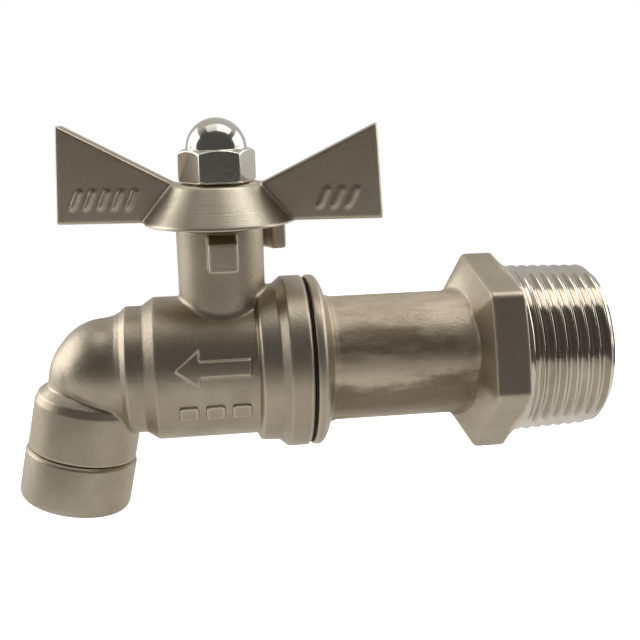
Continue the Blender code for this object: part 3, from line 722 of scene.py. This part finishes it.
CAST = plated_metal("nickel_cast_satin", (0.55, 0.475, 0.365), (0.46, 0.39, 0.295), roughness=0.42,
                    blotch_scale=130.0, grain_mm=0.030, grain_scale=2300.0, brushed="X", brush_mm=0.008)
# The neck finish also carries painted reflection bands, light and dark, set by height.
NECK = plated_metal("nickel_cast_mottled", (0.60, 0.515, 0.395), (0.36, 0.285, 0.205), roughness=0.56,
                    blotch_scale=210.0, blotch_share=0.09, grain_mm=0.045, grain_scale=2000.0,
                    streak=0.35, banded=True)
WING = plated_metal("nickel_wing_satin", (0.51, 0.435, 0.335), (0.45, 0.38, 0.29), roughness=0.42,
                    blotch_scale=150.0, grain_mm=0.022, grain_scale=2300.0)
TURNED = plated_metal("nickel_turned", (0.59, 0.52, 0.41), (0.52, 0.455, 0.35), roughness=0.36,
                      blotch_scale=150.0, grain_mm=0.012, grain_scale=2600.0, brushed="Z", brush_mm=0.020)
THREAD = plated_metal("nickel_machined", (0.72, 0.665, 0.57), (0.62, 0.565, 0.48), roughness=0.15,
                      blotch_scale=200.0, grain_mm=0.003, grain_scale=4000.0, brushed="X", brush_mm=0.004)
POLISHED = plated_metal("nickel_polished", (0.75, 0.70, 0.61), (0.66, 0.62, 0.535), roughness=0.14,
                        blotch_scale=180.0, grain_mm=0.002, grain_scale=3000.0)
BRASS = plated_metal("brass_turned", (0.66, 0.50, 0.24), (0.52, 0.38, 0.17), roughness=0.32,
                     blotch_scale=220.0, grain_mm=0.008, grain_scale=3000.0, brushed="Z", brush_mm=0.006)


def dull_solid(name, light, dark, roughness, grain_mm, grain_scale):
    """Rubber, fibre or PTFE: two tones, matt, with a fine grain."""
    graph = Graph(name)
    spots = graph.noise(graph.place, 700.0, 4.0, 0.6)
    graph.link(graph.mix(spots, dark, light), "Base Color")
    grain = graph.noise(graph.place, grain_scale, 3.0, 0.6)
    graph.link(graph.remap(grain, 0.3, 0.7, roughness - 0.08, roughness + 0.08), "Roughness")
    graph.link(graph.bump(grain, grain_mm), "Normal")
    return graph.material


PTFE = dull_solid("ptfe_white", (0.88, 0.87, 0.83), (0.78, 0.77, 0.72), 0.45, 0.01, 1500.0)
RUBBER = dull_solid("rubber_black", (0.035, 0.034, 0.032), (0.018, 0.018, 0.017), 0.65, 0.02, 2200.0)
FIBRE = dull_solid("fibre_black", (0.030, 0.028, 0.026), (0.015, 0.014, 0.013), 0.80, 0.03, 1800.0)


# ---------------------------------------------------------------- the pieces

def finish_hexagon(shank):
    """The wrench hexagon and the flange are blasted like the body. The neck between is mottled, with
    painted reflection bands.
    """
    shank.data.materials.append(CAST)
    for face in shank.data.polygons:
        place = (face.center - CENTRE) / MM
        if place.x < NECK_START_X or math.hypot(place.y, place.z) > NECK_R + 0.5:
            face.material_index = 1


def finish_wings(handle):
    """The wings and the stop tab stay as cast; the cone between them is turned."""
    handle.data.materials.append(WING)
    for face in handle.data.polygons:
        place = (face.center - CENTRE) / MM
        off_axis = math.hypot(place.x, place.y)
        cone_r = CONE_TOP_R + (CONE_TOP_Z - place.z) * CONE_SLOPE
        if off_axis > cone_r + 0.15 or place.z < 22.7:
            face.material_index = 1


body = cast_piece("valve_body_cast", body_field, (-33.0, -15.0, -20.6), (13.6, 15.0, 23.2),
                  step=0.2, softening=0, body="tap_body", nodes=["valve_body"], finish=CAST)
shank = cast_piece("inlet_shank_cast", shank_field, (5.0, -16.8, -16.8), (47.2, 16.8, 16.8),
                   step=0.22, softening=1, body="tap_body", nodes=["inlet_shank"], finish=NECK)
finish_hexagon(shank)
thread = inlet_thread(THREAD)
handle = cast_piece("handle_cast", handle_field, (-26.5, -12.4, 17.0), (26.5, 12.4, 38.8),
                    step=0.2, softening=1, body="handle_and_stem", nodes=["butterfly_handle"],
                    finish=TURNED)
finish_wings(handle)
nut = cast_piece("acorn_nut_polished", nut_field, (-6.8, -6.0, 28.4), (6.8, 6.0, 39.4),
                 step=0.12, softening=1, body="handle_and_stem", nodes=["acorn_nut"], finish=POLISHED)

SPOUT_TURN = Matrix.Translation((SPOUT_ROOT_X, 0, 0)) @ Matrix.Rotation(SPOUT_LEAN, 4, "Y")
NOZZLE_STEP = -(NIPPLE_END_L + 1.1)
NOZZLE = [
    (SPOUT_R - 0.2, -(SEAM_L + 0.04)), (NOZZLE_R, -(SEAM_L + 0.45)), (NOZZLE_R, 1.0 - NOZZLE_END_L),
    (NOZZLE_R - 0.3, 0.35 - NOZZLE_END_L), (NOZZLE_R - 0.9, -NOZZLE_END_L), (6.5, -NOZZLE_END_L),
    (6.5, NOZZLE_STEP), (NIPPLE_R + 0.3, NOZZLE_STEP), (NIPPLE_R + 0.3, -(SEAM_L + 0.04)),
]
nozzle = lathe("outlet_nozzle_turned", NOZZLE, SPOUT_TURN, "tap_body", ["outlet_nozzle"], CAST)
GASKET = [(10.35, FLANGE_FACE_X + 0.05), (FLANGE_R - 0.4, FLANGE_FACE_X + 0.05),
          (FLANGE_R - 0.4, JOINT_RIGHT_X - 0.05), (10.35, JOINT_RIGHT_X - 0.05)]
gasket = lathe("joint_gasket_fibre", GASKET, Matrix.Rotation(math.pi / 2, 4, "Y"), "tap_body",
               ["body_joint_gasket"], FIBRE, edge_r=0.05)

NODE_FINISHES = {
    "ball": POLISHED,
    "stem": BRASS, "gland_nut": BRASS, "gland_ring": BRASS, "nut_lock_washer": BRASS,
    "inlet_seat_ring": PTFE, "outlet_seat_ring": PTFE, "stem_thrust_washer": PTFE,
    "packing_ring_lower": PTFE, "packing_ring_upper": PTFE,
    "nozzle_washer": RUBBER, "stem_oring": RUBBER,
}
for node, finish in NODE_FINISHES.items():
    for material_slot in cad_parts[node].material_slots:
        material_slot.material = finish


# ---------------------------------------------------------------- studio and camera

FRONT_LEVEL, BACK_LEVEL = 0.09, 0.55      # strength of the room that the metal mirrors
BACK_FROM, BACK_TO = -0.25, 0.45          # Y of a direction where the front gives way to the back
FLOOR_GLOW = 0.8                          # added to the floor for the camera only
FLOOR_X = (-0.42, 0.16)
FLOOR_Y = (-0.42, 0.30)
FLOOR_DROP = 0.03
MIDDLE = (-0.045, 0.0, 0.0)
LENS_MM = 59.19
SENSOR_MM = 36.0
CAMERA_PLACE = (-0.06747, -0.16290, 0.04506)
CAMERA_HEADING = math.radians(-7.90)      # from looking along +Y, about Z
CAMERA_TILT = math.radians(-13.24)        # from level
CAMERA_ROLL = math.radians(-1.24)


def floor_material(name, colour, roughness):
    """Matt and pale. It glows for the camera only, so it meets the white backdrop without an edge."""
    graph = Graph(name)
    soft = graph.noise(graph.place, 3.0)
    graph.link(graph.mix(soft, colour, tuple(c * 0.98 for c in colour)), "Base Color")
    graph.shader.inputs["Roughness"].default_value = roughness
    graph.shader.inputs["Emission Color"].default_value = (1.0, 1.0, 1.0, 1.0)
    seen = graph.add("ShaderNodeLightPath").outputs["Is Camera Ray"]
    graph.link(graph.remap(seen, 0.0, 1.0, 0.0, FLOOR_GLOW), "Emission Strength")
    return graph.material


def floor():
    mesh = bpy.data.meshes.new("floor")
    (left, right), (front, back), height = FLOOR_X, FLOOR_Y, CAD_BOX[0][2] - FLOOR_DROP
    corners = [(left, front), (right, front), (right, back), (left, back)]
    mesh.from_pydata([(x, y, height) for x, y in corners], [], [(0, 1, 2, 3)])
    mesh.materials.append(floor_material("floor_pale", (0.95, 0.95, 0.94), 0.9))
    obj = bpy.data.objects.new("floor", mesh)
    bpy.context.scene.collection.objects.link(obj)


def softbox(name, place, aim, size, power):
    """Square-cornered soft light at a place, facing another."""
    light = bpy.data.lights.new(name, "AREA")
    light.shape = "RECTANGLE"
    light.size, light.size_y = size
    light.energy = power
    obj = bpy.data.objects.new(name, light)
    obj.location = place
    obj.rotation_euler = (Vector(aim) - Vector(place)).to_track_quat("-Z", "Y").to_euler()
    bpy.context.scene.collection.objects.link(obj)


def studio_surround():
    """White backdrop for the camera. What the metal mirrors is a dim room, darkest in front."""
    world = bpy.data.worlds.new("studio")
    bpy.context.scene.world = world
    world.use_nodes = True
    tree = world.node_tree
    background = tree.nodes["Background"]

    def add(kind, **settings):
        node = tree.nodes.new(kind)
        for key, value in settings.items():
            setattr(node, key, value)
        return node

    split = add("ShaderNodeSeparateXYZ")
    tree.links.new(add("ShaderNodeTexCoord").outputs["Generated"], split.inputs[0])
    room = add("ShaderNodeMapRange", interpolation_type="SMOOTHSTEP")
    ends = {"From Min": BACK_FROM, "From Max": BACK_TO, "To Min": FRONT_LEVEL, "To Max": BACK_LEVEL}
    for socket, value in ends.items():
        room.inputs[socket].default_value = value
    tree.links.new(split.outputs["Y"], room.inputs["Value"])
    seen = add("ShaderNodeLightPath")
    level = add("ShaderNodeMix", data_type="FLOAT")
    level.inputs[3].default_value = 1.0
    tree.links.new(seen.outputs["Is Camera Ray"], level.inputs[0])
    tree.links.new(room.outputs[0], level.inputs[2])
    tree.links.new(level.outputs[0], background.inputs["Strength"])
    background.inputs["Color"].default_value = (1.0, 1.0, 1.0, 1.0)


def camera():
    data = bpy.data.cameras.new("camera")
    data.lens = LENS_MM
    data.sensor_width = SENSOR_MM
    data.clip_start = 0.005
    data.dof.use_dof = False
    obj = bpy.data.objects.new("camera", data)
    heading = Matrix.Rotation(CAMERA_HEADING, 4, "Z")
    tilt = Matrix.Rotation(math.pi / 2 + CAMERA_TILT, 4, "X")
    roll = Matrix.Rotation(CAMERA_ROLL, 4, "Z")
    obj.matrix_world = Matrix.Translation(CAMERA_PLACE) @ heading @ tilt @ roll
    bpy.context.scene.collection.objects.link(obj)
    bpy.context.scene.camera = obj


bpy.context.scene.view_settings.view_transform = "Standard"
floor()
studio_surround()
softbox("overhead", (0.14, -0.005, 0.42), (0.14, -0.005, 0.0), (0.32, 0.23), 0.50)
softbox("overhead_dim", (-0.13, -0.005, 0.42), (-0.13, -0.005, 0.0), (0.22, 0.23), 0.12)
softbox("left", (-0.49, 0.16, 0.175), MIDDLE, (0.46, 0.40), 1.12)
softbox("right", (0.45, 0.09, 0.16), MIDDLE, (0.50, 0.36), 1.2)
camera()
